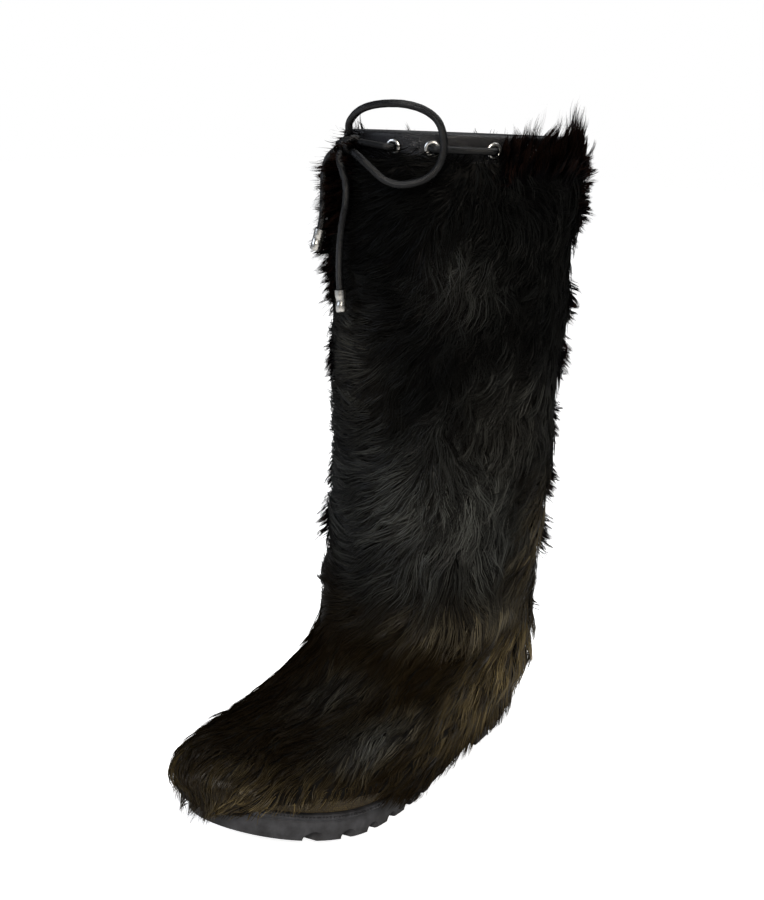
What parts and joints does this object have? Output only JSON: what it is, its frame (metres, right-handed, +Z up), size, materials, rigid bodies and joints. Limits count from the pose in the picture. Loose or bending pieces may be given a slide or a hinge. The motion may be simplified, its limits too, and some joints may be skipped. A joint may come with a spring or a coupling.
{
  "type": "mukluk boot",
  "caption": "Tall long-haired mukluk boot, left foot: hollow hide shaft, lugged rubber sole, and a leather collar with eyelets and a knotted drawstring.",
  "frame": {"origin": "on the floor under the middle of the heel, at the centre of the heel's flat rest", "axes": "+Z up, -Y towards the toe, +X towards the outer side of this left boot"},
  "size_m": [0.1794, 0.3274, 0.4263],
  "materials": {
    "moulded_rubber": "satin",
    "rand_leather": "satin",
    "hide": "matte",
    "casing_leather": "satin",
    "shaft_hair": "satin",
    "foot_hair": "satin",
    "felt": "matte",
    "cord": "satin",
    "nickel": "polished"
  },
  "bodies": {
    "root": {"outsole": "moulded_rubber", "insole": "felt", "rand": "rand_leather", "upper": "hide", "fur_foot": "foot_hair", "fur_shaft": "shaft_hair", "collar_casing": "casing_leather", "eyelet_01": "nickel", "eyelet_02": "nickel", "eyelet_03": "nickel", "eyelet_04": "nickel", "eyelet_05": "nickel", "eyelet_06": "nickel", "eyelet_07": "nickel", "eyelet_08": "nickel", "eyelet_09": "nickel", "eyelet_10": "nickel", "eyelet_11": "nickel", "eyelet_12": "nickel", "eyelet_13": "nickel", "eyelet_14": "nickel", "drawstring_bars": "cord", "drawstring_knot": "cord", "drawstring_loop": "cord", "drawstring_end_front": "cord", "drawstring_end_side": "cord", "aglet_front": "nickel", "aglet_side": "nickel"}
  },
  "joints": []
}
